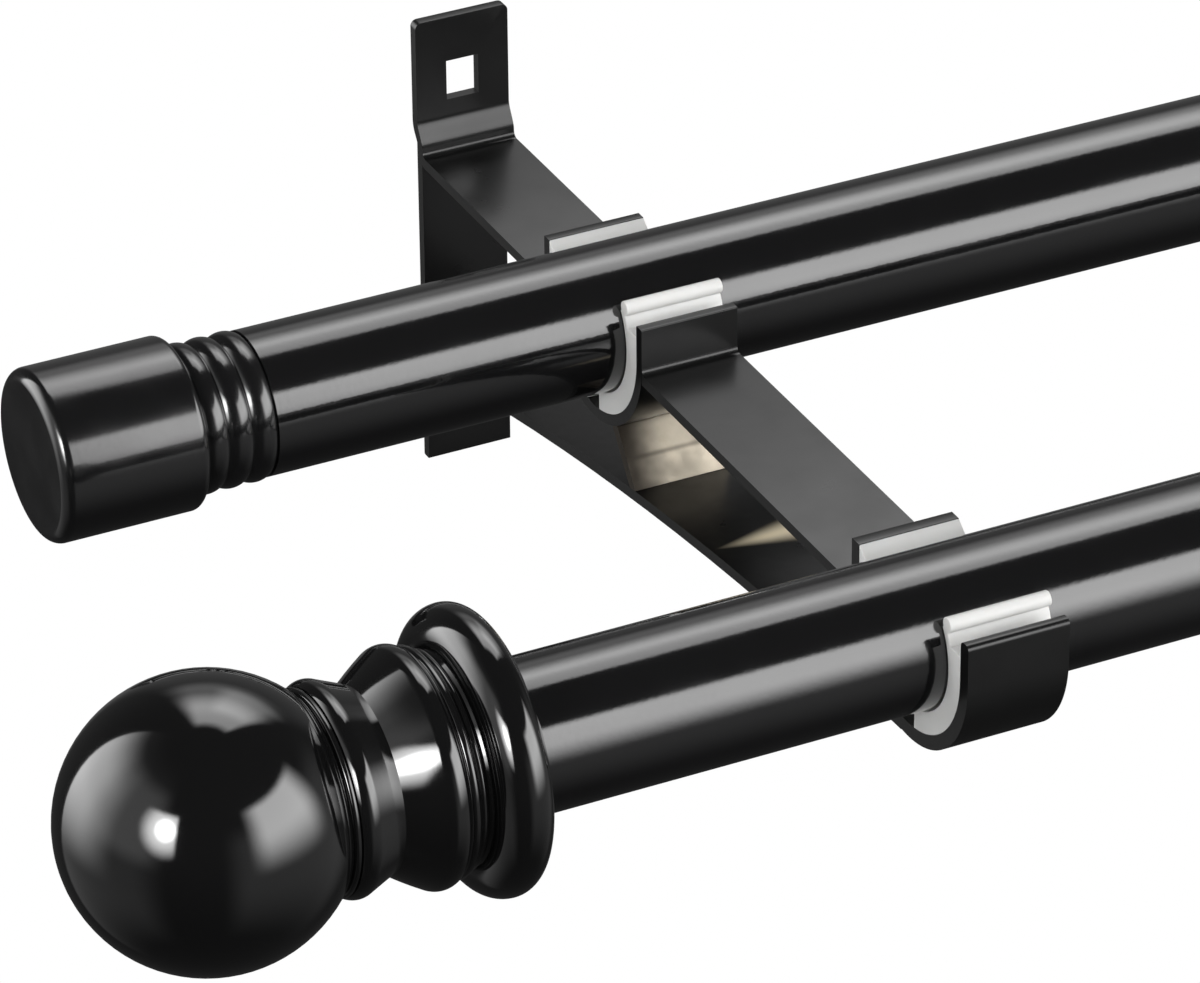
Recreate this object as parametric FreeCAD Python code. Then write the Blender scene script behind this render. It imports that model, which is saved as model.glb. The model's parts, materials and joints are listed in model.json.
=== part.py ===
import FreeCAD, Part
import math
import os

# Double curtain pole: two round poles, one behind the other, on two strap brackets.
# Frame in millimetres: X runs along the poles to the right, Y points into the wall, Z is up.
# The origin lies on the wall, in the middle of the left bracket, at the height of the poles.

# Poles
POLE_DIAMETER = 25.4
POLE_WALL = 0.8
FRONT_POLE_LENGTH = 914.4
FRONT_POLE_OVERHANG = 89.2
BACK_POLE_OVERHANG = 73.4
WALL_TO_BACK_POLE = 73.2
POLE_SPACING = 114.0

# Bracket strap
STRAP_WIDTH = 18.2
STRAP_THICKNESS = 2.0
BEND_RADIUS = 1.2
ARM_BELOW_AXIS = 1.5
EAR_TOP = 24.3
EAR_CORNER = 1.2
JOGGLE_TOP = 3.8
JOGGLE_HEIGHT = 2.9
JOGGLE_RADIUS = 2.5
SCREW_HOLE_WIDTH = 6.3
SCREW_HOLE_HEIGHT = 7.7
SCREW_HOLE_INSET = 8.7

# Wall plate
PLATE_WIDTH = 16.6
PLATE_BOTTOM = -65.4

# Cups and their soft liners
POLE_PLAY = 0.3
LINER_THICKNESS = 3.9
CUP_LEG_TOP = 7.1
FRONT_CUP_THICKNESS = 2.5
FRONT_CUP_LEG_TOP = 7.9
LINER_SHOULDER = 4.7
LINER_LIP_THICKNESS = 1.3
LINER_BEAD_RADIUS = 1.3
LINER_BEAD_OUT = 1.7
LINER_BEAD_HEIGHT = 8.1
LINER_BACK_SLOPE = 3.4
LINER_NOTCH_WIDTH = 4.4
LINER_NOTCH_DEPTH = 2.6
WELD_COVE = 1.2

# Brace and strut
BRACE_ROOT = -44.7
BRACE_RADIUS = 868.0
BRACE_FOOT_BOTTOM = -58.5
BRACE_END_LAP = 2.5
STRUT_TOP_FORWARD = 9.3
STRUT_ANGLE = 53.5

# Ball finial, from the mouth of its collar outwards to the ball
FINIAL_SOCKET_DEPTH = 7.5
COLLAR_RADIUS = 23.65
COLLAR_MOUTH_ROUNDING = 3.8
COLLAR_ROUNDING = 5.0
COLLAR_FOOT_ANGLE = 14.0
COVE_RADIUS = 17.0
COVE_WIDTH = 0.65
FILLET_RADIUS = 17.9
FILLET_WIDTH = 1.6
BEAD_RADIUS = 18.8
BEAD_WIDTH = 1.8
FINE_GROOVE_DEPTH = 0.5
BULGE_RADIUS = 19.65
BULGE_WIDTH = 3.9
BULGE_END_DROP = 0.5
FLARE_WIDTH = 5.8
FLARE_SWELL = 0.12
WAIST_RADIUS = 15.2
RISE_WIDTH = 4.7
RING_RADIUS = 17.5
RING_WIDTH = 3.1
RING_EDGE_DROP = 0.3
NECK_BEAD_RADIUS = 16.8
NECK_BEAD_WIDTH = 1.3
NECK_RADIUS = 16.2
BALL_RADIUS = 23.75

# Stud and plug that hold the finial in its pole
STUD_DIAMETER = 6.0
STUD_IN_FINIAL = 22.0
STUD_IN_PLUG = 14.0
PLUG_LENGTH = 18.0

# End cap, measured outwards from the end of the back pole
CAP_BEAD_COUNT = 3
CAP_BEAD_PITCH = 4.4
CAP_BEAD_RISE = 0.3
CAP_BEAD_LEAN = 0.62
CAP_GROOVE_DEPTH = 0.45
CAP_BODY_RADIUS = 15.1
CAP_BODY_LENGTH = 26.4
CAP_FRONT_ROUNDING = 2.2
CAP_BACK_ROUNDING = 1.5
CAP_SPIGOT_LENGTH = 14.0
CAP_SPIGOT_WALL = 2.0

# Values that follow from the ones above
POLE_RADIUS = POLE_DIAMETER / 2
BORE_RADIUS = POLE_RADIUS - POLE_WALL
BRACKET_SPACING = FRONT_POLE_LENGTH - 2 * FRONT_POLE_OVERHANG
BACK_POLE_LENGTH = BRACKET_SPACING + 2 * BACK_POLE_OVERHANG
MIDDLE_X = BRACKET_SPACING / 2
BACK_AXIS_Y = -WALL_TO_BACK_POLE
FRONT_AXIS_Y = BACK_AXIS_Y - POLE_SPACING
LINER_BORE = POLE_RADIUS + POLE_PLAY
CUP_INNER = LINER_BORE + LINER_THICKNESS
CUP_OUTER = CUP_INNER + STRAP_THICKNESS
FRONT_CUP_OUTER = CUP_INNER + FRONT_CUP_THICKNESS
ARM_TOP = -ARM_BELOW_AXIS
ALONG_X = FreeCAD.Vector(1, 0, 0)
DIAGONAL = math.sqrt(0.5)
TOUCH = 0.01


def at(y, z):
    """A point of the bracket's side outline."""
    return FreeCAD.Vector(0, y, z)


def line(start, end):
    return Part.LineSegment(start, end).toShape()


def arc(centre, radius, start_angle, end_angle):
    """An arc in the Y-Z plane between two angles in degrees, counted from +Y towards +Z."""
    spots = []
    for angle in (start_angle, (start_angle + end_angle) / 2, end_angle):
        turn = math.radians(angle)
        spots.append(centre + FreeCAD.Vector(0, radius * math.cos(turn), radius * math.sin(turn)))
    return Part.Arc(*spots).toShape()


def angle_to(centre, point):
    """The direction from one outline point to another, in degrees."""
    return math.degrees(math.atan2(point.z - centre.z, point.y - centre.y))


def rounded_path(points, radii):
    """An open path through the points, each inner corner rounded by its own radius."""
    edges = []
    last = points[0]
    for before, corner, after, radius in zip(points, points[1:], points[2:], radii):
        back = (before - corner).normalize()
        ahead = (after - corner).normalize()
        half = back.getAngle(ahead) / 2
        start = corner + back * (radius / math.tan(half))
        end = corner + ahead * (radius / math.tan(half))
        middle = (back + ahead).normalize()
        nearest = corner + middle * (radius / math.sin(half) - radius)
        edges.append(line(last, start))
        edges.append(Part.Arc(start, nearest, end).toShape())
        last = end
    edges.append(line(last, points[-1]))
    return Part.Wire(edges)


def strap(path, thickness, width):
    """Flat strap bent along a path, with its thickness behind the path and centred on X."""
    face = path.makeOffset2D(-thickness, fill=True, openResult=True)
    return centred(face, width)


def centred(face, width):
    """A side outline drawn out to a width that is centred on the bracket."""
    face.translate(FreeCAD.Vector(-width / 2, 0, 0))
    return face.extrude(ALONG_X * width)


def closed_face(edges):
    return Part.Face(Part.Wire(Part.sortEdges(edges)[0]))


def disc(centre, radius, width):
    """A round slice of the bracket's width, used to trim what butts against a round piece."""
    return Part.makeCylinder(radius, width, centre - ALONG_X * (width / 2), ALONG_X)


def screw_hole(centre_z):
    """The square screw hole, from the wall out to well past every strap in front of it."""
    deep = 3 * STRAP_THICKNESS
    corner = FreeCAD.Vector(-SCREW_HOLE_WIDTH / 2, -deep, centre_z - SCREW_HOLE_HEIGHT / 2)
    return Part.makeBox(SCREW_HOLE_WIDTH, deep, SCREW_HOLE_HEIGHT, corner)


def round_corners(solid, height, radius):
    """Rounds the strap's two free corners at the given height."""
    picked = []
    for edge in solid.Edges:
        ends = [vertex.Point for vertex in edge.Vertexes]
        if len(ends) < 2:
            continue
        across = abs(ends[0].y - ends[1].y) > STRAP_THICKNESS / 2
        level = all(abs(end.z - height) < TOUCH for end in ends)
        if across and level:
            picked.append(edge)
    return solid.makeFillet(radius, picked)


def turned(points_and_arcs, axis_y):
    """A solid turned about a pole's axis from an outline in the X-radius plane."""
    face = closed_face(points_and_arcs)
    solid = face.revolve(FreeCAD.Vector(0, 0, 0), ALONG_X, 360)
    solid.translate(FreeCAD.Vector(0, axis_y, 0))
    return solid


# Bracket pieces

UPPER_HOLE_Z = EAR_TOP - SCREW_HOLE_INSET - SCREW_HOLE_HEIGHT / 2
LOWER_HOLE_Z = PLATE_BOTTOM + SCREW_HOLE_INSET + SCREW_HOLE_HEIGHT / 2


def rear_arm():
    """Ear, joggle over the wall plate's top end, bend and rear part of the arm, in one strap."""
    front = -STRAP_THICKNESS
    forward = front - STRAP_THICKNESS
    points = [
        at(front, EAR_TOP),
        at(front, JOGGLE_TOP),
        at(forward, JOGGLE_TOP - JOGGLE_HEIGHT),
        at(forward, ARM_TOP),
        at(BACK_AXIS_Y + CUP_OUTER, ARM_TOP),
    ]
    radii = [JOGGLE_RADIUS, JOGGLE_RADIUS + STRAP_THICKNESS / 2, BEND_RADIUS]
    solid = strap(rounded_path(points, radii), STRAP_THICKNESS, STRAP_WIDTH)
    solid = round_corners(solid, EAR_TOP, EAR_CORNER)
    return solid.cut(screw_hole(UPPER_HOLE_Z))


def weld_cove(corner_y, side):
    """The small filled corner where the arm's top meets a cup's leg."""
    corner = at(corner_y, ARM_TOP)
    along = at(corner_y + side * WELD_COVE, ARM_TOP)
    above = at(corner_y, ARM_TOP + WELD_COVE)
    centre = at(corner_y + side * WELD_COVE, ARM_TOP + WELD_COVE)
    middle = centre + (corner - centre).normalize() * WELD_COVE
    edges = [line(along, corner), line(corner, above), Part.Arc(above, middle, along).toShape()]
    return centred(closed_face(edges), STRAP_WIDTH)


def middle_arm():
    """Straight arm between the two cups, with its weld against the back cup's front leg."""
    back_end = BACK_AXIS_Y - CUP_OUTER
    front_end = FRONT_AXIS_Y + FRONT_CUP_OUTER
    length = back_end - front_end
    corner = FreeCAD.Vector(-STRAP_WIDTH / 2, front_end, ARM_TOP - STRAP_THICKNESS)
    bar = Part.makeBox(STRAP_WIDTH, length, STRAP_THICKNESS, corner)
    return bar.fuse(weld_cove(back_end, -1)).removeSplitter()


def cup(axis_y, thickness, front_leg_top):
    """Round-bottomed strap cup that carries one pole."""
    centre = at(axis_y, 0)
    outer = CUP_INNER + thickness
    edges = [
        line(at(axis_y - CUP_INNER, front_leg_top), at(axis_y - CUP_INNER, 0)),
        arc(centre, CUP_INNER, 180, 360),
        line(at(axis_y + CUP_INNER, 0), at(axis_y + CUP_INNER, CUP_LEG_TOP)),
        line(at(axis_y + CUP_INNER, CUP_LEG_TOP), at(axis_y + outer, CUP_LEG_TOP)),
        line(at(axis_y + outer, CUP_LEG_TOP), at(axis_y + outer, 0)),
        arc(centre, outer, 180, 360),
        line(at(axis_y - outer, 0), at(axis_y - outer, front_leg_top)),
        line(at(axis_y - outer, front_leg_top), at(axis_y - CUP_INNER, front_leg_top)),
    ]
    return centred(closed_face(edges), STRAP_WIDTH)


def wall_plate():
    """Flat plate on the wall, tucked behind the rear arm's joggle at its top end."""
    top = JOGGLE_TOP - JOGGLE_HEIGHT - BEND_RADIUS
    corner = FreeCAD.Vector(-PLATE_WIDTH / 2, -STRAP_THICKNESS, PLATE_BOTTOM)
    solid = Part.makeBox(PLATE_WIDTH, STRAP_THICKNESS, top - PLATE_BOTTOM, corner)
    return solid.cut(screw_hole(LOWER_HOLE_Z))


def brace_centre():
    """Centre of the brace's long arc, which runs tangent into the front cup's bottom."""
    root = at(-2 * STRAP_THICKNESS, BRACE_ROOT)
    cup_centre = at(FRONT_AXIS_Y, 0)
    span = root - cup_centre
    reach = BRACE_RADIUS + FRONT_CUP_OUTER
    along = (span.Length ** 2 + reach ** 2 - BRACE_RADIUS ** 2) / (2 * span.Length)
    aside = math.sqrt(reach ** 2 - along ** 2)
    unit = FreeCAD.Vector(span)
    unit.normalize()
    down = FreeCAD.Vector(0, unit.z, -unit.y)
    return cup_centre + unit * along + down * aside


def brace():
    """Strap from its foot on the wall plate, in one long gentle arc, to under the front cup."""
    centre = brace_centre()
    foot_front = -2 * STRAP_THICKNESS
    foot_back = -STRAP_THICKNESS
    bend_y = foot_front - BEND_RADIUS
    inner = BRACE_RADIUS - BEND_RADIUS
    bend_z = centre.z + math.sqrt(inner ** 2 - (bend_y - centre.y) ** 2)
    bend = at(bend_y, bend_z)
    leave = angle_to(centre, bend)
    touch = angle_to(centre, at(FRONT_AXIS_Y, 0))
    end = touch - math.degrees(BRACE_END_LAP / BRACE_RADIUS)
    under = BRACE_RADIUS
    over = BRACE_RADIUS + STRAP_THICKNESS
    end_turn = FreeCAD.Vector(0, math.cos(math.radians(end)), math.sin(math.radians(end)))
    edges = [
        line(at(foot_front, BRACE_FOOT_BOTTOM), at(foot_front, bend_z)),
        arc(bend, BEND_RADIUS, 0, leave),
        arc(centre, under, leave, end),
        line(centre + end_turn * under, centre + end_turn * over),
        arc(centre, over, end, leave),
        arc(bend, BEND_RADIUS + STRAP_THICKNESS, leave, 0),
        line(at(foot_back, bend_z), at(foot_back, BRACE_FOOT_BOTTOM)),
        line(at(foot_back, BRACE_FOOT_BOTTOM), at(foot_front, BRACE_FOOT_BOTTOM)),
    ]
    solid = centred(closed_face(edges), STRAP_WIDTH)
    solid = solid.cut(disc(at(FRONT_AXIS_Y, 0), FRONT_CUP_OUTER, 2 * STRAP_WIDTH))
    return solid.cut(screw_hole(LOWER_HOLE_Z))


def strut():
    """Short strap that stands on the brace and holds up the back cup."""
    slope = math.radians(STRUT_ANGLE)
    along = FreeCAD.Vector(0, -math.cos(slope), -math.sin(slope))
    behind = FreeCAD.Vector(0, math.sin(slope), -math.cos(slope))
    low = math.sqrt(CUP_OUTER ** 2 - STRUT_TOP_FORWARD ** 2)
    top = at(BACK_AXIS_Y - STRUT_TOP_FORWARD, -low)
    start = top - along * CUP_OUTER / 2
    end = top + along * CUP_OUTER
    corners = [start, end, end + behind * STRAP_THICKNESS, start + behind * STRAP_THICKNESS]
    edges = [line(a, b) for a, b in zip(corners, corners[1:] + corners[:1])]
    solid = centred(closed_face(edges), STRAP_WIDTH)
    solid = solid.cut(disc(at(BACK_AXIS_Y, 0), CUP_OUTER, 2 * STRAP_WIDTH))
    return solid.cut(disc(brace_centre(), BRACE_RADIUS + STRAP_THICKNESS, 2 * STRAP_WIDTH))


def liner(axis_y):
    """Soft saddle between cup and pole, with a beaded lip in front and a sloped lip behind."""
    centre = at(axis_y, 0)
    front = axis_y - CUP_INNER
    back = axis_y + CUP_INNER
    lip_turn = math.asin(LINER_BEAD_HEIGHT / (LINER_BORE + LINER_BEAD_OUT))
    bead_reach = (LINER_BORE + LINER_BEAD_OUT) * math.cos(lip_turn)
    bead = at(axis_y - bead_reach, LINER_BEAD_HEIGHT)
    lip_radius = LINER_BORE + LINER_LIP_THICKNESS
    neck_y = axis_y - math.sqrt(lip_radius ** 2 - LINER_SHOULDER ** 2)
    slope_z = CUP_LEG_TOP - LINER_BACK_SLOPE
    slope_y = axis_y + math.sqrt(LINER_BORE ** 2 - slope_z ** 2)
    bead_angle = 180 - math.degrees(lip_turn)
    shoulder_angle = angle_to(centre, at(neck_y, LINER_SHOULDER))
    slope_angle = angle_to(centre, at(slope_y, slope_z))
    body = closed_face([
        line(at(front, 0), at(front, LINER_SHOULDER)),
        line(at(front, LINER_SHOULDER), at(neck_y, LINER_SHOULDER)),
        arc(centre, lip_radius, shoulder_angle, bead_angle),
        line(on_circle(centre, lip_radius, bead_angle), on_circle(centre, LINER_BORE, bead_angle)),
        arc(centre, LINER_BORE, bead_angle, 360 + slope_angle),
        line(at(slope_y, slope_z), at(back, CUP_LEG_TOP)),
        line(at(back, CUP_LEG_TOP), at(back, 0)),
        arc(centre, CUP_INNER, 180, 360),
    ])
    solid = centred(body, STRAP_WIDTH)
    solid = solid.fuse(disc(bead, LINER_BEAD_RADIUS, STRAP_WIDTH)).removeSplitter()
    for side in (-1, 1):
        middle = side * STRAP_WIDTH / 2
        corner = FreeCAD.Vector(
            middle - LINER_NOTCH_DEPTH, axis_y - LINER_NOTCH_WIDTH / 2, -2 * CUP_INNER
        )
        notch = Part.makeBox(2 * LINER_NOTCH_DEPTH, LINER_NOTCH_WIDTH, 2 * CUP_INNER, corner)
        solid = solid.cut(notch)
    return solid


def on_circle(centre, radius, angle):
    turn = math.radians(angle)
    return centre + FreeCAD.Vector(0, radius * math.cos(turn), radius * math.sin(turn))


# Pole pieces, turned about the X axis. Those at the left end point towards -X.

FRONT_END_X = -FRONT_POLE_OVERHANG
BACK_END_X = -BACK_POLE_OVERHANG


def tube(start_x, length, axis_y):
    start = FreeCAD.Vector(start_x, axis_y, 0)
    outer = Part.makeCylinder(POLE_RADIUS, length, start, ALONG_X)
    return outer.cut(Part.makeCylinder(BORE_RADIUS, length, start, ALONG_X))


def outline(spots):
    """Edges through points (distance outwards, radius). A middle spot of three makes an arc."""
    edges = []
    last = None
    for spot in spots:
        if last is not None and len(spot) == 2:
            edges.append(line(last, FreeCAD.Vector(-spot[0], 0, spot[1])))
        if len(spot) == 4:
            middle = FreeCAD.Vector(-spot[0], 0, spot[1])
            end = FreeCAD.Vector(-spot[2], 0, spot[3])
            edges.append(Part.Arc(last, middle, end).toShape())
        last = FreeCAD.Vector(-spot[-2], 0, spot[-1])
    return edges


def finial():
    """Turned ball finial: ball, neck ring, waist, bulge, two fine beads and a round collar."""
    socket = POLE_RADIUS
    mouth = COLLAR_MOUTH_ROUNDING
    mouth_centre = COLLAR_RADIUS - mouth
    collar_centre = COLLAR_RADIUS - COLLAR_ROUNDING
    foot = -math.radians(COLLAR_FOOT_ANGLE)
    over = (math.pi / 2 + foot) / 2
    foot_at = mouth + COLLAR_ROUNDING * math.cos(foot)
    foot_radius = collar_centre + COLLAR_ROUNDING * math.sin(foot)
    over_at = mouth + COLLAR_ROUNDING * math.cos(over)
    over_radius = collar_centre + COLLAR_ROUNDING * math.sin(over)
    cove_end = foot_at + COVE_WIDTH
    fillet_end = cove_end + FILLET_WIDTH
    bead_end = fillet_end + BEAD_WIDTH
    bulge_end = bead_end + BULGE_WIDTH
    bulge_low = BULGE_RADIUS - BULGE_END_DROP
    waist_at = bulge_end + FLARE_WIDTH
    swell_at = (bulge_end + waist_at) / 2
    swell_radius = (bulge_low + WAIST_RADIUS) / 2 + FLARE_SWELL
    ring_start = waist_at + RISE_WIDTH
    ring_end = ring_start + RING_WIDTH
    neck_end = ring_end + NECK_BEAD_WIDTH
    ball_at = neck_end + math.sqrt(BALL_RADIUS ** 2 - NECK_RADIUS ** 2)
    spots = [
        (FINIAL_SOCKET_DEPTH, 0),
        (FINIAL_SOCKET_DEPTH, socket),
        (0, socket),
        (0, mouth_centre),
        (mouth * (1 - DIAGONAL), mouth_centre + mouth * DIAGONAL, mouth, COLLAR_RADIUS),
        (over_at, over_radius, foot_at, foot_radius),
        (cove_end, COVE_RADIUS),
        ((cove_end + fillet_end) / 2, FILLET_RADIUS),
        (fillet_end, FILLET_RADIUS - FINE_GROOVE_DEPTH),
        ((fillet_end + bead_end) / 2, BEAD_RADIUS),
        (bead_end, BEAD_RADIUS - FINE_GROOVE_DEPTH),
        (bead_end, BEAD_RADIUS),
        ((bead_end + bulge_end) / 2, BULGE_RADIUS, bulge_end, bulge_low),
        (swell_at, swell_radius, waist_at, WAIST_RADIUS),
        (ring_start, RING_RADIUS - RING_EDGE_DROP),
        (ring_start + RING_WIDTH / 2, RING_RADIUS, ring_end, NECK_BEAD_RADIUS),
        (ring_end, NECK_BEAD_RADIUS - FINE_GROOVE_DEPTH),
        ((ring_end + neck_end) / 2, NECK_BEAD_RADIUS),
        (neck_end, NECK_RADIUS),
        (ball_at, BALL_RADIUS, ball_at + BALL_RADIUS, 0),
        (FINIAL_SOCKET_DEPTH, 0),
    ]
    solid = turned(outline(spots), FRONT_AXIS_Y)
    solid.translate(ALONG_X * (FRONT_END_X + FINIAL_SOCKET_DEPTH))
    hole_start = FreeCAD.Vector(FRONT_END_X - STUD_IN_FINIAL, FRONT_AXIS_Y, 0)
    hole = Part.makeCylinder(STUD_DIAMETER / 2, STUD_IN_FINIAL, hole_start, ALONG_X)
    return solid.cut(hole)


def finial_stud():
    """Steel stud, half in the finial and half in the plug."""
    start = FreeCAD.Vector(FRONT_END_X - STUD_IN_FINIAL, FRONT_AXIS_Y, 0)
    length = STUD_IN_FINIAL + STUD_IN_PLUG
    return Part.makeCylinder(STUD_DIAMETER / 2, length, start, ALONG_X)


def finial_plug():
    """Moulded plug pressed into the pole's end, drilled for the stud."""
    start = FreeCAD.Vector(FRONT_END_X, FRONT_AXIS_Y, 0)
    body = Part.makeCylinder(BORE_RADIUS, PLUG_LENGTH, start, ALONG_X)
    body = body.cut(Part.makeCylinder(STUD_DIAMETER / 2, STUD_IN_PLUG, start, ALONG_X))
    return body


def end_cap():
    """Cap of the back pole: plain round head, three rounded beads and a hollow spigot."""
    beads_end = CAP_BEAD_COUNT * CAP_BEAD_PITCH
    face_at = beads_end + CAP_BODY_LENGTH
    groove = POLE_RADIUS - CAP_GROOVE_DEPTH
    crest = POLE_RADIUS + CAP_BEAD_RISE
    spigot_bore = BORE_RADIUS - CAP_SPIGOT_WALL
    front = CAP_FRONT_ROUNDING
    back = CAP_BACK_ROUNDING
    spots = [
        (0, 0),
        (0, spigot_bore),
        (-CAP_SPIGOT_LENGTH, spigot_bore),
        (-CAP_SPIGOT_LENGTH, BORE_RADIUS),
        (0, BORE_RADIUS),
        (0, groove),
    ]
    for bead in range(CAP_BEAD_COUNT):
        start = bead * CAP_BEAD_PITCH
        crest_at = start + CAP_BEAD_LEAN * CAP_BEAD_PITCH
        spots.append((crest_at, crest, start + CAP_BEAD_PITCH, groove))
    spots += [
        (beads_end, CAP_BODY_RADIUS - back),
        (beads_end + back * (1 - DIAGONAL), CAP_BODY_RADIUS - back * (1 - DIAGONAL),
         beads_end + back, CAP_BODY_RADIUS),
        (face_at - front, CAP_BODY_RADIUS),
        (face_at - front * (1 - DIAGONAL), CAP_BODY_RADIUS - front * (1 - DIAGONAL),
         face_at, CAP_BODY_RADIUS - front),
        (face_at, 0),
        (0, 0),
    ]
    solid = turned(outline(spots), BACK_AXIS_Y)
    solid.translate(ALONG_X * BACK_END_X)
    return solid


def opposite(solid):
    """The same piece at the other end of the poles."""
    return solid.mirror(FreeCAD.Vector(MIDDLE_X, 0, 0), ALONG_X)


def save(name, solid):
    solid.exportStep("parts/" + name + ".step")


os.makedirs("parts", exist_ok=True)

save("front_tube", tube(FRONT_END_X, FRONT_POLE_LENGTH, FRONT_AXIS_Y))
save("back_tube", tube(BACK_END_X, BACK_POLE_LENGTH, BACK_AXIS_Y))

END_PIECES = {
    "finial": finial(),
    "finial_stud": finial_stud(),
    "finial_plug": finial_plug(),
    "end_cap": end_cap(),
}
for piece, solid in END_PIECES.items():
    save("left_" + piece, solid)
    save("right_" + piece, opposite(solid))

BRACKET_PIECES = {
    "rear_arm": rear_arm(),
    "middle_arm": middle_arm(),
    "wall_plate": wall_plate(),
    "brace": brace(),
    "strut": strut(),
    "back_cup": cup(BACK_AXIS_Y, STRAP_THICKNESS, CUP_LEG_TOP),
    "front_cup": cup(FRONT_AXIS_Y, FRONT_CUP_THICKNESS, FRONT_CUP_LEG_TOP),
    "back_liner": liner(BACK_AXIS_Y),
    "front_liner": liner(FRONT_AXIS_Y),
}
for side, place in (("left_", 0.0), ("right_", BRACKET_SPACING)):
    for piece, solid in BRACKET_PIECES.items():
        placed = solid.copy()
        placed.translate(ALONG_X * place)
        save(side + piece, placed)
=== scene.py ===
import json
import math

import bmesh
import bpy
from mathutils import Matrix, Vector


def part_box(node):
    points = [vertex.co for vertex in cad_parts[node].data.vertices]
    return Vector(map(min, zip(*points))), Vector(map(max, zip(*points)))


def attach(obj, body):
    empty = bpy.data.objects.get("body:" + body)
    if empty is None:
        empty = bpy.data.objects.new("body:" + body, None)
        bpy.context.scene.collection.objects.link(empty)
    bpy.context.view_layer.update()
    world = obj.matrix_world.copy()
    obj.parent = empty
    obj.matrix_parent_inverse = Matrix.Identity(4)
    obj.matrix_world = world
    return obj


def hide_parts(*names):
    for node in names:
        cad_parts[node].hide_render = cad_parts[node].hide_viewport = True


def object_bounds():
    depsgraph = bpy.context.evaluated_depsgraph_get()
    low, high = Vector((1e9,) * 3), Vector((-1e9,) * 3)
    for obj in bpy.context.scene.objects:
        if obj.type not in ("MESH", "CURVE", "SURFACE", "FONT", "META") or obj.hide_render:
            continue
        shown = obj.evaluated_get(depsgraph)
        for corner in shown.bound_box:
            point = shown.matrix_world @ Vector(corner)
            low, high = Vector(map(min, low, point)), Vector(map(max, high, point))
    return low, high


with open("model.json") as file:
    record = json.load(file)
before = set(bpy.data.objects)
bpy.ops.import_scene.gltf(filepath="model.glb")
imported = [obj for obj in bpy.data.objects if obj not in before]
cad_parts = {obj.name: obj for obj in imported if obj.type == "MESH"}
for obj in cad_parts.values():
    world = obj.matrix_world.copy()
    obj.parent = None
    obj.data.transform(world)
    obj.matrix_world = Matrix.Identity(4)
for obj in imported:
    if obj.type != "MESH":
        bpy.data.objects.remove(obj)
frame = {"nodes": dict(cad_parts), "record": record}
CAD_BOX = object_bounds()

# Lengths are in metres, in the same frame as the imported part: X along the poles, Y into the
# wall, Z up. Angles of the light boxes are in degrees.
MM = 0.001
NODES = frame["nodes"]

# Camera, fitted to the photo's edges, with its angles in radians
IMAGE_WIDTH = 1200
IMAGE_HEIGHT = 983
FOCAL_PIXELS = 6979.3
CENTRE_X_PIXEL = 537.46
CENTRE_Y_PIXEL = 479.84
SENSOR_WIDTH = 36.0
CAMERA_PLACE = Vector((-464.89, -1012.61, 586.96)) * MM
CAMERA_TURN = 0.4423
CAMERA_DIP = 0.5351
CAMERA_ROLL = -0.0142

# Turned pieces: steps round the axis, steps for each radian of an arc of the outline and the
# fewest steps of an arc. A point nearer to the axis than ON_AXIS lies on it.
TURN_STEPS = 160
ARC_STEPS = 14
FEWEST_STEPS = 4
ON_AXIS = 1e-9

# Edges of new meshes that bend more than this are shown sharp
SHARP_ANGLE = math.radians(32)

# Rounding of the edges of strap and liner pieces, and of the front cup's open end
STRAP_EDGE = 0.2 * MM
LINER_EDGE = 0.5 * MM
TIP_EDGE = 1.0 * MM
EDGE_STEPS = 3
TIP_STEPS = 8


def set_camera():
    data = bpy.data.cameras.new("camera")
    data.sensor_width = SENSOR_WIDTH
    data.lens = FOCAL_PIXELS * SENSOR_WIDTH / IMAGE_WIDTH
    data.shift_x = (IMAGE_WIDTH / 2 - CENTRE_X_PIXEL) / IMAGE_WIDTH
    data.shift_y = (CENTRE_Y_PIXEL - IMAGE_HEIGHT / 2) / IMAGE_WIDTH
    data.clip_start = 0.01
    data.clip_end = 20.0
    forward = Vector((
        math.sin(CAMERA_TURN) * math.cos(CAMERA_DIP),
        math.cos(CAMERA_TURN) * math.cos(CAMERA_DIP),
        -math.sin(CAMERA_DIP),
    ))
    level = forward.cross(Vector((0, 0, 1))).normalized()
    above = level.cross(forward)
    right = math.cos(CAMERA_ROLL) * level + math.sin(CAMERA_ROLL) * above
    up = math.cos(CAMERA_ROLL) * above - math.sin(CAMERA_ROLL) * level
    turn = Matrix((right, up, -forward)).transposed().to_4x4()
    camera = bpy.data.objects.new("camera", data)
    camera.matrix_world = Matrix.Translation(CAMERA_PLACE) @ turn
    bpy.context.scene.collection.objects.link(camera)
    bpy.context.scene.camera = camera


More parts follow.
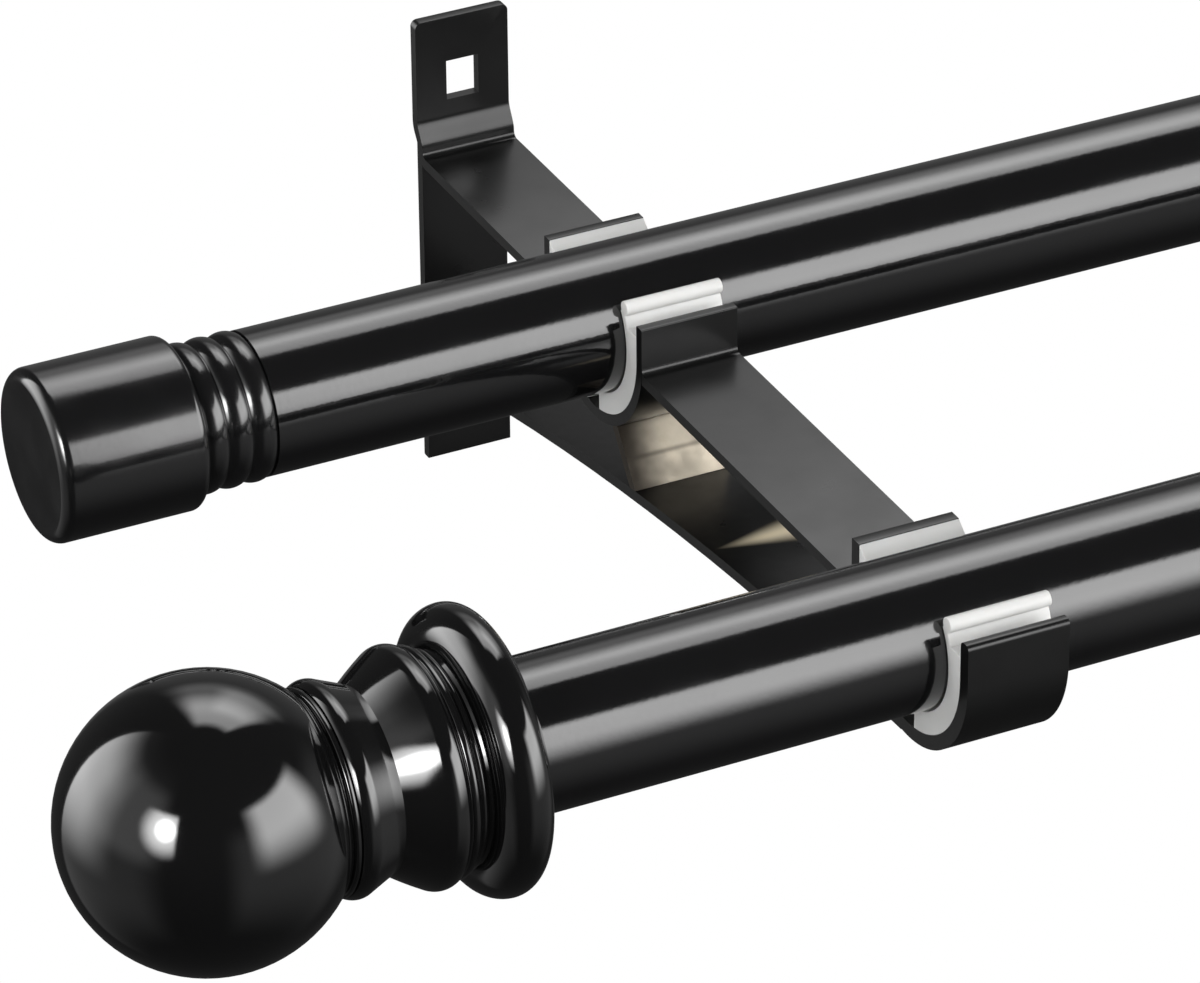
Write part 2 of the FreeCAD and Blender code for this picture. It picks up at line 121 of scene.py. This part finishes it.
# Surroundings: soft light boxes round the object, as the gloss black reflects them in the photo.
# Azimuth is counted from the viewer's side (-Y) towards +X. Each box has its level, its two
# azimuths and its two elevations, each with the width of its soft edge. The two boxes of the
# lamp are round as well: they have a centre, the radius of the core and the width of the glow.
LIGHT_BOXES = [
    {"level": 2.9, "azimuth": (-152, 2, -132, 40), "elevation": (8, 38, 22, 32)},
    {"level": 0.15, "azimuth": (-150, 6, -80, 30), "elevation": (-30, 40, 30, 40)},
    {"level": 0.35, "azimuth": (-100, 20, -72, 20), "elevation": (5, 15, 40, 15)},
    {"level": 8.0, "azimuth": (-90, 5, -49, 4), "elevation": (0, 5, 33, 5), "round": (-56, 24, 8, 15)},
    {"level": 9.0, "azimuth": (-80, 5, -47, 4), "elevation": (10, 5, 38, 5), "round": (-56, 24, 6, 4)},
    {"level": 4.6, "azimuth": (26, 20, 58, 22), "elevation": (16, 32, 32, 7)},
    {"level": 0.19, "azimuth": (8, 22, 80, 30), "elevation": (-16, 50, 10, 20)},
    {"level": 2.3, "azimuth": (118, 9, 162, 16), "elevation": (54, 22, 65, 8)},
    {"level": 0.07, "azimuth": (125, 15, 165, 12), "elevation": (-20, 20, 50, 20)},
    {"level": 0.8, "azimuth": (124, 12, 142, 12), "elevation": (34, 12, 50, 10)},
    {"level": 0.4, "azimuth": (140, 26, 162, 14), "elevation": (30, 14, 50, 20)},
]
AMBIENT_ABOVE = 0.045
AMBIENT_BELOW = 0.022
BACKGROUND = 1.0


class Nodes:
    """A node tree that is filled by short calls."""

    def __init__(self, tree):
        self.tree = tree
        tree.nodes.clear()

    def add(self, kind, **settings):
        node = self.tree.nodes.new(kind)
        for key, value in settings.items():
            setattr(node, key, value)
        return node

    def link(self, output, target):
        self.tree.links.new(output, target)

    def put(self, value, socket):
        """Links an output, or sets a plain number or colour."""
        if isinstance(value, bpy.types.NodeSocket):
            self.link(value, socket)
        else:
            socket.default_value = value

    def math(self, operation, first, second=0.0):
        node = self.add("ShaderNodeMath", operation=operation)
        self.put(first, node.inputs[0])
        self.put(second, node.inputs[1])
        return node.outputs[0]

    def ramp(self, value, start, end, low=0.0, high=1.0):
        """A smooth step of the value from start to end."""
        node = self.add("ShaderNodeMapRange", interpolation_type="SMOOTHSTEP")
        self.put(value, node.inputs["Value"])
        for name, number in (("From Min", start), ("From Max", end), ("To Min", low), ("To Max", high)):
            self.put(number, node.inputs[name])
        return node.outputs["Result"]

    def noise(self, scale, detail=2.0, roughness=0.5, vector=None):
        node = self.add("ShaderNodeTexNoise")
        node.inputs["Scale"].default_value = scale
        node.inputs["Detail"].default_value = detail
        node.inputs["Roughness"].default_value = roughness
        if vector is not None:
            self.link(vector, node.inputs["Vector"])
        return node.outputs["Fac"]

    def mix(self, factor, first, second):
        node = self.add("ShaderNodeMix", data_type="RGBA")
        self.put(factor, node.inputs["Factor"])
        self.put(first, node.inputs["A"])
        self.put(second, node.inputs["B"])
        return node.outputs["Result"]

    def parts(self, vector):
        """The three components of a vector."""
        split = self.add("ShaderNodeSeparateXYZ")
        self.link(vector, split.inputs[0])
        return split.outputs

    def bump(self, height, strength, distance):
        node = self.add("ShaderNodeBump")
        node.inputs["Strength"].default_value = strength
        node.inputs["Distance"].default_value = distance
        self.link(height, node.inputs["Height"])
        return node.outputs["Normal"]


def window(nodes, value, span):
    """1 inside a span of angles, falling off smoothly past its two ends."""
    start, soft_start, end, soft_end = span
    rise = nodes.ramp(value, start - soft_start, start)
    fall = nodes.ramp(value, end, end + soft_end, 1.0, 0.0)
    return nodes.math("MULTIPLY", rise, fall)


def disc(nodes, direction, spot):
    """1 within a lamp's core, falling off smoothly through its glow."""
    azimuth, elevation, core, glow = spot
    turn, lift = math.radians(azimuth), math.radians(elevation)
    centre = (math.sin(turn) * math.cos(lift), -math.cos(turn) * math.cos(lift), math.sin(lift))
    product = nodes.add("ShaderNodeVectorMath", operation="DOT_PRODUCT")
    nodes.link(direction, product.inputs[0])
    product.inputs[1].default_value = centre
    away = nodes.math("DEGREES", nodes.math("ARCCOSINE", product.outputs["Value"]))
    return nodes.ramp(away, core, core + glow, 1.0, 0.0)


def set_world():
    world = bpy.data.worlds.new("studio")
    world.use_nodes = True
    nodes = Nodes(world.node_tree)
    where = nodes.add("ShaderNodeTexCoord").outputs["Generated"]
    x, y, z = nodes.parts(where)
    toward = nodes.math("MULTIPLY", y, -1.0)
    azimuth = nodes.math("DEGREES", nodes.math("ARCTAN2", x, toward))
    elevation = nodes.math("DEGREES", nodes.math("ARCSINE", z))
    total = nodes.ramp(elevation, -60, 20, AMBIENT_BELOW, AMBIENT_ABOVE)
    for box in LIGHT_BOXES:
        shape = nodes.math("MULTIPLY", window(nodes, azimuth, box["azimuth"]),
                           window(nodes, elevation, box["elevation"]))
        if "round" in box:
            shape = nodes.math("MULTIPLY", shape, disc(nodes, where, box["round"]))
        total = nodes.math("ADD", total, nodes.math("MULTIPLY", shape, box["level"]))
    studio = nodes.add("ShaderNodeBackground")
    studio.inputs["Color"].default_value = (1, 1, 1, 1)
    nodes.link(total, studio.inputs["Strength"])
    white = nodes.add("ShaderNodeBackground")
    white.inputs["Color"].default_value = (1, 1, 1, 1)
    white.inputs["Strength"].default_value = BACKGROUND
    choice = nodes.add("ShaderNodeMixShader")
    nodes.link(nodes.add("ShaderNodeLightPath").outputs["Is Camera Ray"], choice.inputs[0])
    nodes.link(studio.outputs[0], choice.inputs[1])
    nodes.link(white.outputs[0], choice.inputs[2])
    output = nodes.add("ShaderNodeOutputWorld")
    nodes.link(choice.outputs[0], output.inputs["Surface"])
    bpy.context.scene.world = world
    bpy.context.scene.view_settings.view_transform = "Standard"


# Soft fill light from the front, above and a little to the right (+X)
FILL_STRENGTH = 1.35
FILL_ANGLE = math.radians(50)
FILL_TURN = (math.radians(63), 0, math.radians(20))


def add_fill():
    """Lights the pale liners and stays out of the reflections."""
    data = bpy.data.lights.new("fill", "SUN")
    data.energy = FILL_STRENGTH
    data.angle = FILL_ANGLE
    fill = bpy.data.objects.new("fill", data)
    fill.rotation_euler = FILL_TURN
    fill.visible_glossy = False
    bpy.context.scene.collection.objects.link(fill)


FLOOR_DROP = 0.5
FLOOR_SIZE = 30.0


def add_floor():
    """Plain pale floor far below the brackets. It shows white and stays out of the reflections."""
    low = CAD_BOX[0][2] - FLOOR_DROP
    mesh = bpy.data.meshes.new("floor")
    half = FLOOR_SIZE / 2
    corners = [(-half, -half, low), (half, -half, low), (half, half, low), (-half, half, low)]
    mesh.from_pydata(corners, [], [(0, 1, 2, 3)])
    floor = bpy.data.objects.new("floor", mesh)
    material = bpy.data.materials.new("pale_floor")
    material.use_nodes = True
    nodes = Nodes(material.node_tree)
    glow = nodes.add("ShaderNodeEmission")
    glow.inputs["Strength"].default_value = BACKGROUND
    nodes.link(glow.outputs[0], nodes.add("ShaderNodeOutputMaterial").inputs["Surface"])
    mesh.materials.append(material)
    floor.visible_glossy = False
    floor.visible_diffuse = False
    floor.visible_shadow = False
    bpy.context.scene.collection.objects.link(floor)


# Materials

def new_material(name):
    material = bpy.data.materials.new(name)
    material.use_nodes = True
    nodes = Nodes(material.node_tree)
    surface = nodes.add("ShaderNodeBsdfPrincipled")
    output = nodes.add("ShaderNodeOutputMaterial")
    nodes.link(surface.outputs[0], output.inputs["Surface"])
    place = nodes.add("ShaderNodeTexCoord").outputs["Object"]
    return material, nodes, surface.inputs, place


# Painted reflection of a warm light, as a stripe across the top of the brace: its middle, and about
# half its depth at the right edge. It fades out at STRIPE_FADE times that.
STRIPE_Y = -118.0 * MM
STRIPE_REACH = 4.6 * MM
STRIPE_FADE = 1.4
PAINTED_REFLECTION_COLOUR = (0.80, 0.70, 0.50, 1)


def painted_reflection_stripe(nodes, place):
    """1 in a wedge across the upward-facing top of the brace: a painted reflection of warm light."""
    across = nodes.parts(nodes.add("ShaderNodeTexCoord").outputs["Generated"])[0]
    up = nodes.parts(nodes.add("ShaderNodeNewGeometry").outputs["Normal"])[2]
    away = nodes.math("ABSOLUTE", nodes.math("SUBTRACT", nodes.parts(place)[1], STRIPE_Y))
    spread = nodes.math("DIVIDE", away, nodes.math("MULTIPLY", across, STRIPE_REACH))
    depth = nodes.ramp(spread, 0.0, STRIPE_FADE, 1.0, 0.0)
    wedge = nodes.math("MULTIPLY", depth, nodes.ramp(across, 0.0, 0.6))
    return nodes.math("MULTIPLY", wedge, nodes.ramp(up, 0.5, 0.8))


def gloss_black(name, colour, roughness, coat_roughness, grain, base_gloss=0.5, coat=1.0, painted_reflection=False):
    """Black enamel under a clear coat. The grain is the strength of the paint's faint unevenness."""
    material, nodes, surface, place = new_material(name)
    surface["Base Color"].default_value = (*colour, 1)
    # Painted reflection: a warm stripe mixed into the base colour across the brace's top
    if painted_reflection:
        stripe = painted_reflection_stripe(nodes, place)
        nodes.link(nodes.mix(stripe, (*colour, 1), PAINTED_REFLECTION_COLOUR), surface["Base Color"])
    surface["Specular IOR Level"].default_value = base_gloss
    surface["Coat Weight"].default_value = coat
    surface["Coat Roughness"].default_value = coat_roughness
    patches = nodes.noise(90, 3.0, 0.6, place)
    nodes.link(nodes.ramp(patches, 0.3, 0.7, roughness * 0.8, roughness * 1.25), surface["Roughness"])
    peel = nodes.noise(900, 2.0, 0.5, place)
    normal = nodes.bump(peel, grain, 0.00004)
    nodes.link(normal, surface["Normal"])
    nodes.link(normal, surface["Coat Normal"])
    return material


def soft_white():
    """Soft translucent plastic of the liners."""
    material, nodes, surface, place = new_material("soft_white")
    tone = nodes.noise(140, 3.0, 0.6, place)
    nodes.link(nodes.mix(tone, (0.59, 0.59, 0.58, 1), (0.65, 0.65, 0.64, 1)), surface["Base Color"])
    surface["Subsurface Weight"].default_value = 0.6
    surface["Subsurface Radius"].default_value = (1.0, 0.95, 0.9)
    surface["Subsurface Scale"].default_value = 0.0012
    nodes.link(nodes.ramp(tone, 0.3, 0.7, 0.42, 0.55), surface["Roughness"])
    nodes.link(nodes.bump(nodes.noise(1800, 2.0, 0.5, place), 0.15, 0.00005), surface["Normal"])
    return material


def bare_steel():
    """Bare strap with a mottled, slightly warm metal face and a darker line at half its height. The face
    is painted pale towards the right and dark towards the left edge: a painted reflection of warm light.
    """
    material, nodes, surface, place = new_material("bare_steel")
    spread = nodes.add("ShaderNodeTexCoord").outputs["Generated"]
    across, _, height = nodes.parts(spread)
    tone = nodes.noise(260, 4.0, 0.65, place)
    cloud = nodes.noise(75, 3.0, 0.6, place)
    # Painted reflection: the pale metal colour fades out towards the left edge, which is painted dark
    edge = nodes.ramp(nodes.math("ADD", across, nodes.math("MULTIPLY", cloud, 0.3)), 0.2, 0.62)
    line = nodes.ramp(nodes.math("ABSOLUTE", nodes.math("SUBTRACT", height, 0.5)), 0.0, 0.06, 0.45, 1.0)
    mottle = nodes.ramp(cloud, 0.25, 0.7, 0.55, 1.0)
    # Where the pale metal shows: the painted reflection, the darker line at half height and the mottle
    light = nodes.math("MULTIPLY", nodes.math("MULTIPLY", edge, line), mottle)
    metal = nodes.mix(tone, (0.42, 0.36, 0.27, 1), (0.70, 0.64, 0.53, 1))
    nodes.link(nodes.mix(light, (0.035, 0.028, 0.02, 1), metal), surface["Base Color"])
    surface["Metallic"].default_value = 0.6
    nodes.link(nodes.ramp(tone, 0.3, 0.7, 0.35, 0.6), surface["Roughness"])
    nodes.link(nodes.bump(nodes.noise(1400, 3.0, 0.6, place), 0.2, 0.00006), surface["Normal"])
    return material


def plain_steel():
    """Turned steel of the studs, with fine streaks along X."""
    material, nodes, surface, place = new_material("plain_steel")
    stretched = nodes.add("ShaderNodeMapping")
    stretched.inputs["Scale"].default_value = (40, 900, 900)
    nodes.link(place, stretched.inputs["Vector"])
    tone = nodes.noise(1.0, 3.0, 0.6, stretched.outputs[0])
    nodes.link(nodes.mix(tone, (0.42, 0.42, 0.43, 1), (0.56, 0.56, 0.57, 1)), surface["Base Color"])
    surface["Metallic"].default_value = 1.0
    nodes.link(nodes.ramp(tone, 0.3, 0.7, 0.25, 0.42), surface["Roughness"])
    return material


def moulded_black():
    """Dull black plastic of the plugs."""
    material, nodes, surface, place = new_material("moulded_black")
    tone = nodes.noise(300, 3.0, 0.6, place)
    nodes.link(nodes.mix(tone, (0.03, 0.03, 0.03, 1), (0.05, 0.05, 0.05, 1)), surface["Base Color"])
    nodes.link(nodes.ramp(tone, 0.3, 0.7, 0.5, 0.65), surface["Roughness"])
    nodes.link(nodes.bump(nodes.noise(1500, 2.0, 0.5, place), 0.2, 0.00005), surface["Normal"])
    return material


BRACKET_PAINT = {"colour": (0.004, 0.004, 0.004), "roughness": 0.34, "coat_roughness": 0.22,
                 "grain": 0.04, "base_gloss": 0.2, "coat": 0.7}
MATERIALS = {
    "black_paint": gloss_black("black_paint", **BRACKET_PAINT),
    "pole_paint": gloss_black("pole_paint", (0.004, 0.004, 0.0042), 0.13, 0.06, 0.2),
    "finial_gloss": gloss_black("finial_gloss", (0.003, 0.003, 0.0031), 0.08, 0.02, 0.06),
    "cap_gloss": gloss_black("cap_gloss", (0.004, 0.004, 0.0042), 0.2, 0.09, 0.15),
    "soft_liner": soft_white(),
    "bare_steel": bare_steel(),
    "stud_steel": plain_steel(),
    "plug_plastic": moulded_black(),
}
# The brace's paint, with a painted reflection stripe across its top
BRACE_PAINT = gloss_black("brace_paint", painted_reflection=True, **BRACKET_PAINT)
SLOT_OF = {part["node"]: part["material_slot"] for part in frame["record"]["subparts"]}


def stand_for(piece, node):
    """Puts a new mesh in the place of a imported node, with that node's finish and body."""
    piece.data.materials.clear()
    piece.data.materials.append(BRACE_PAINT if node.endswith("_brace") else MATERIALS[SLOT_OF[node]])
    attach(piece, "root")
    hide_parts(node)


def new_piece(name, mesh):
    piece = bpy.data.objects.new(name, mesh)
    bpy.context.scene.collection.objects.link(piece)
    return piece


def smooth(mesh):
    mesh.shade_smooth()
    mesh.set_sharp_from_angle(angle=SHARP_ANGLE)


# Strap and liner pieces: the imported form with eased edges. Faces flatter to each other than FLAT
# are joined, points nearer than WELD are merged, and edges sharper than CORNER are eased. Edges
# that lie within HOLE_REACH of an opening belong to it.
FLAT = math.radians(0.6)
WELD = 0.001 * MM
CORNER = math.radians(40)
HOLE_REACH = 1.5 * MM
ALONG_X = 0.9


def runs_across(edge):
    """True for an edge across the strap, which runs along X."""
    along = edge.verts[1].co - edge.verts[0].co
    return abs(along.x) > ALONG_X * along.length


def middle_of(edge):
    return (edge.verts[0].co + edge.verts[1].co) / 2


def is_eased(edge, all_round):
    """Only the strap's ends are eased: its long edges are sheared and its screw holes punched."""
    if all_round:
        return True
    if not runs_across(edge):
        return False
    middle = middle_of(edge)
    for opening in frame["record"]["physics"]["openings"]:
        low, high = opening["box_m"]
        if all(low[axis] - HOLE_REACH < middle[axis] < high[axis] + HOLE_REACH for axis in range(3)):
            return False
    return True


# The joggle's front face between two heights, its Y at each of them, and the cuts made across it
JOGGLE_SPAN = (5.0 * MM, -0.1 * MM)
JOGGLE_FACE = (-2.0 * MM, -4.0 * MM)
JOGGLE_CUTS = 28
CUT_REACH = 1e-8

# The front cup's open end lies within these distances of the top and front of the cup's box
TIP_TOP = 0.1 * MM
TIP_DEPTH = 3 * MM


def soften_joggle(form):
    """Redraws the front face of the rear arm's joggle as one soft bend."""
    top, bottom = JOGGLE_SPAN
    start, end = JOGGLE_FACE
    for step in range(JOGGLE_CUTS + 1):
        height = top + (bottom - top) * step / JOGGLE_CUTS
        bmesh.ops.bisect_plane(form, geom=form.verts[:] + form.edges[:] + form.faces[:],
                               plane_co=(0, 0, height), plane_no=(0, 0, 1), dist=CUT_REACH)
    for vertex in form.verts:
        if bottom < vertex.co.z < top and vertex.co.y < start + WELD:
            part = (top - vertex.co.z) / (top - bottom)
            vertex.co.y = start + (end - start) * part ** 2 * (3 - 2 * part)


def round_tip(form, node):
    """Rounds the open end of the front cup, which is its highest and foremost part."""
    low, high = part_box(node)
    edges = []
    for edge in form.edges:
        middle = middle_of(edge)
        at_end = middle.z > high.z - TIP_TOP and middle.y < low.y + TIP_DEPTH
        if at_end and runs_across(edge):
            edges.append(edge)
    bmesh.ops.bevel(form, geom=edges, offset=TIP_EDGE, segments=TIP_STEPS, profile=0.5, affect="EDGES",
                    clamp_overlap=True)


def eased(node, width, all_round):
    """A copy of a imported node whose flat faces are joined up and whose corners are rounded."""
    mesh = NODES[node].data.copy()
    if mesh.has_custom_normals:
        mesh.attributes.remove(mesh.attributes["custom_normal"])
    form = bmesh.new()
    form.from_mesh(mesh)
    bmesh.ops.remove_doubles(form, verts=form.verts, dist=WELD)
    bmesh.ops.dissolve_limit(form, angle_limit=FLAT, verts=form.verts, edges=form.edges)
    if node.endswith("_rear_arm"):
        soften_joggle(form)
    if node.endswith("_front_cup"):
        round_tip(form, node)
    corners = [edge for edge in form.edges
               if edge.is_manifold and edge.calc_face_angle() > CORNER and is_eased(edge, all_round)]
    bmesh.ops.bevel(form, geom=corners, offset=width, segments=EDGE_STEPS, profile=0.5,
                    affect="EDGES", clamp_overlap=True)
    bmesh.ops.remove_doubles(form, verts=form.verts, dist=WELD)
    form.to_mesh(mesh)
    form.free()
    smooth(mesh)
    stand_for(new_piece(node + "_eased", mesh), node)


# Turned pieces

def outline_points(spots):
    """Points (distance outwards, radius) of an outline. A spot of four numbers is an arc, given by
    its middle and its end."""
    points = []
    for spot in spots:
        if len(spot) == 2:
            points.append(Vector(spot))
            continue
        start = points[-1]
        middle = Vector(spot[:2])
        end = Vector(spot[2:])
        points += arc_points(start, middle, end)
    return points


def arc_points(start, middle, end):
    """Points on the circle through three points, without the first."""
    a = middle - start
    b = end - start
    twice = 2 * (a.x * b.y - a.y * b.x)
    centre = start + Vector((
        (b.y * a.length_squared - a.y * b.length_squared) / twice,
        (a.x * b.length_squared - b.x * a.length_squared) / twice,
    ))
    radius = (start - centre).length
    angles = [math.atan2(point.y - centre.y, point.x - centre.x) for point in (start, middle, end)]
    for index in (1, 2):
        while angles[index] - angles[index - 1] > math.pi:
            angles[index] -= 2 * math.pi
        while angles[index] - angles[index - 1] < -math.pi:
            angles[index] += 2 * math.pi
    spread = angles[2] - angles[0]
    steps = max(FEWEST_STEPS, int(ARC_STEPS * abs(spread)))
    points = []
    for step in range(1, steps + 1):
        angle = angles[0] + spread * step / steps
        points.append(centre + radius * Vector((math.cos(angle), math.sin(angle))))
    return points


def turned_mesh(name, points, start_x, axis_y, outwards):
    """A closed surface turned about a pole's axis. outwards is -1 at the left end, 1 at the right."""
    form = bmesh.new()
    rings = []
    for point in points:
        x = start_x + outwards * point.x
        if point.y < ON_AXIS:
            rings.append([form.verts.new((x, axis_y, 0))])
            continue
        ring = []
        for step in range(TURN_STEPS):
            turn = 2 * math.pi * step / TURN_STEPS
            ring.append(form.verts.new((x, axis_y + point.y * math.cos(turn), point.y * math.sin(turn))))
        rings.append(ring)
    for first, second in zip(rings, rings[1:]):
        for step in range(TURN_STEPS):
            after = (step + 1) % TURN_STEPS
            corners = []
            for ring, index in ((first, step), (first, after), (second, after), (second, step)):
                vertex = ring[index % len(ring)]
                if vertex not in corners:
                    corners.append(vertex)
            if len(corners) > 2:
                form.faces.new(corners)
    bmesh.ops.recalc_face_normals(form, faces=form.faces)
    mesh = bpy.data.meshes.new(name)
    form.to_mesh(mesh)
    form.free()
    smooth(mesh)
    return mesh


# Sizes of the turned pieces in millimetres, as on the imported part
POLE_RADIUS = 12.7
POLE_WALL = 0.8
BORE_RADIUS = POLE_RADIUS - POLE_WALL
FINIAL_SOCKET = 7.5
DIAGONAL = math.sqrt(0.5)


def finial_outline():
    """The finial's outline from its collar's mouth outwards, with the fine beads rounded."""
    collar = 23.65
    mouth = 3.8
    rounding = 5.0
    foot = math.radians(-14.0)
    cove_radius = 17.0
    cove = 0.65
    fillet_radius = 17.9
    fillet = 1.6
    bead_radius = 18.8
    bead = 1.8
    fine = 0.5
    bulge_radius = 19.65
    bulge = 3.9
    bulge_low = bulge_radius - 0.5
    flare = 5.8
    swell = 0.12
    waist_radius = 15.2
    rise = 4.7
    ring_radius = 17.5
    ring = 3.1
    ring_drop = 0.3
    neck_bead_radius = 16.8
    neck_bead = 1.3
    neck_radius = 16.2
    ball = 23.75
    stud = 3.0
    stud_depth = 29.5
    centre = collar - rounding
    over = (math.pi / 2 + foot) / 2
    foot_at = mouth + rounding * math.cos(foot)
    cove_end = foot_at + cove
    fillet_end = cove_end + fillet
    bead_end = fillet_end + bead
    bulge_end = bead_end + bulge
    waist_at = bulge_end + flare
    ring_start = waist_at + rise
    ring_end = ring_start + ring
    neck_end = ring_end + neck_bead
    ball_at = neck_end + math.sqrt(ball ** 2 - neck_radius ** 2)
    return [
        (stud_depth, 0),
        (stud_depth, stud),
        (FINIAL_SOCKET, stud),
        (FINIAL_SOCKET, POLE_RADIUS),
        (0, POLE_RADIUS),
        (0, collar - mouth),
        (mouth * (1 - DIAGONAL), collar - mouth * (1 - DIAGONAL), mouth, collar),
        (mouth + rounding * math.cos(over), centre + rounding * math.sin(over),
         foot_at, centre + rounding * math.sin(foot)),
        (cove_end, cove_radius),
        ((cove_end + fillet_end) / 2, fillet_radius, fillet_end, fillet_radius - fine),
        ((fillet_end + bead_end) / 2, bead_radius, bead_end, bead_radius - fine),
        (bead_end, bead_radius),
        ((bead_end + bulge_end) / 2, bulge_radius, bulge_end, bulge_low),
        ((bulge_end + waist_at) / 2, (bulge_low + waist_radius) / 2 + swell, waist_at, waist_radius),
        (ring_start, ring_radius - ring_drop),
        (ring_start + ring / 2, ring_radius, ring_end, neck_bead_radius),
        (ring_end, neck_bead_radius - fine),
        ((ring_end + neck_end) / 2, neck_bead_radius, neck_end, neck_radius),
        (ball_at, ball, ball_at + ball, 0),
    ]


def cap_outline():
    """The cap's outline from the end of the back pole outwards, with its spigot in the pole."""
    pitch = 4.4
    beads = 3
    rise = 0.3
    lean = 0.62
    groove = POLE_RADIUS - 0.45
    body = 15.1
    length = 26.4
    front = 2.2
    back = 1.5
    spigot = 14.0
    bore = BORE_RADIUS - 2.0
    beads_end = beads * pitch
    face = beads_end + length
    spots = [(0, 0), (0, bore), (-spigot, bore), (-spigot, BORE_RADIUS), (0, BORE_RADIUS), (0, groove)]
    for bead in range(beads):
        start = bead * pitch
        spots.append((start + lean * pitch, POLE_RADIUS + rise, start + pitch, groove))
    spots += [
        (beads_end, body - back),
        (beads_end + back * (1 - DIAGONAL), body - back * (1 - DIAGONAL), beads_end + back, body),
        (face - front, body),
        (face - front * (1 - DIAGONAL), body - front * (1 - DIAGONAL), face, body - front),
        (face, 0),
    ]
    return spots


def millimetres(points):
    return [point * MM for point in points]


def add_tube(node):
    low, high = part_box(node)
    length = high.x - low.x
    spots = [(0, BORE_RADIUS), (0, POLE_RADIUS), (length / MM, POLE_RADIUS), (length / MM, BORE_RADIUS),
             (0, BORE_RADIUS)]
    axis_y = (low.y + high.y) / 2
    mesh = turned_mesh(node + "_turned", millimetres(outline_points(spots)), low.x, axis_y, 1)
    stand_for(new_piece(node + "_turned", mesh), node)


def add_end(node, spots, start_x, axis_y, outwards):
    mesh = turned_mesh(node + "_turned", millimetres(outline_points(spots)), start_x, axis_y, outwards)
    stand_for(new_piece(node + "_turned", mesh), node)


set_camera()
set_world()
add_fill()
add_floor()

for name, node in NODES.items():
    node.data.materials.clear()
    node.data.materials.append(MATERIALS[SLOT_OF[name]])
    if name.endswith("_liner"):
        eased(name, LINER_EDGE, True)
    elif SLOT_OF[name] in ("black_paint", "bare_steel"):
        eased(name, STRAP_EDGE, False)

front_low, front_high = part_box("front_tube")
back_low, back_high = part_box("back_tube")
FRONT_Y = (front_low.y + front_high.y) / 2
BACK_Y = (back_low.y + back_high.y) / 2
SOCKET = FINIAL_SOCKET * MM
add_tube("front_tube")
add_tube("back_tube")
add_end("left_finial", finial_outline(), front_low.x + SOCKET, FRONT_Y, -1)
add_end("right_finial", finial_outline(), front_high.x - SOCKET, FRONT_Y, 1)
add_end("left_end_cap", cap_outline(), back_low.x, BACK_Y, -1)
add_end("right_end_cap", cap_outline(), back_high.x, BACK_Y, 1)
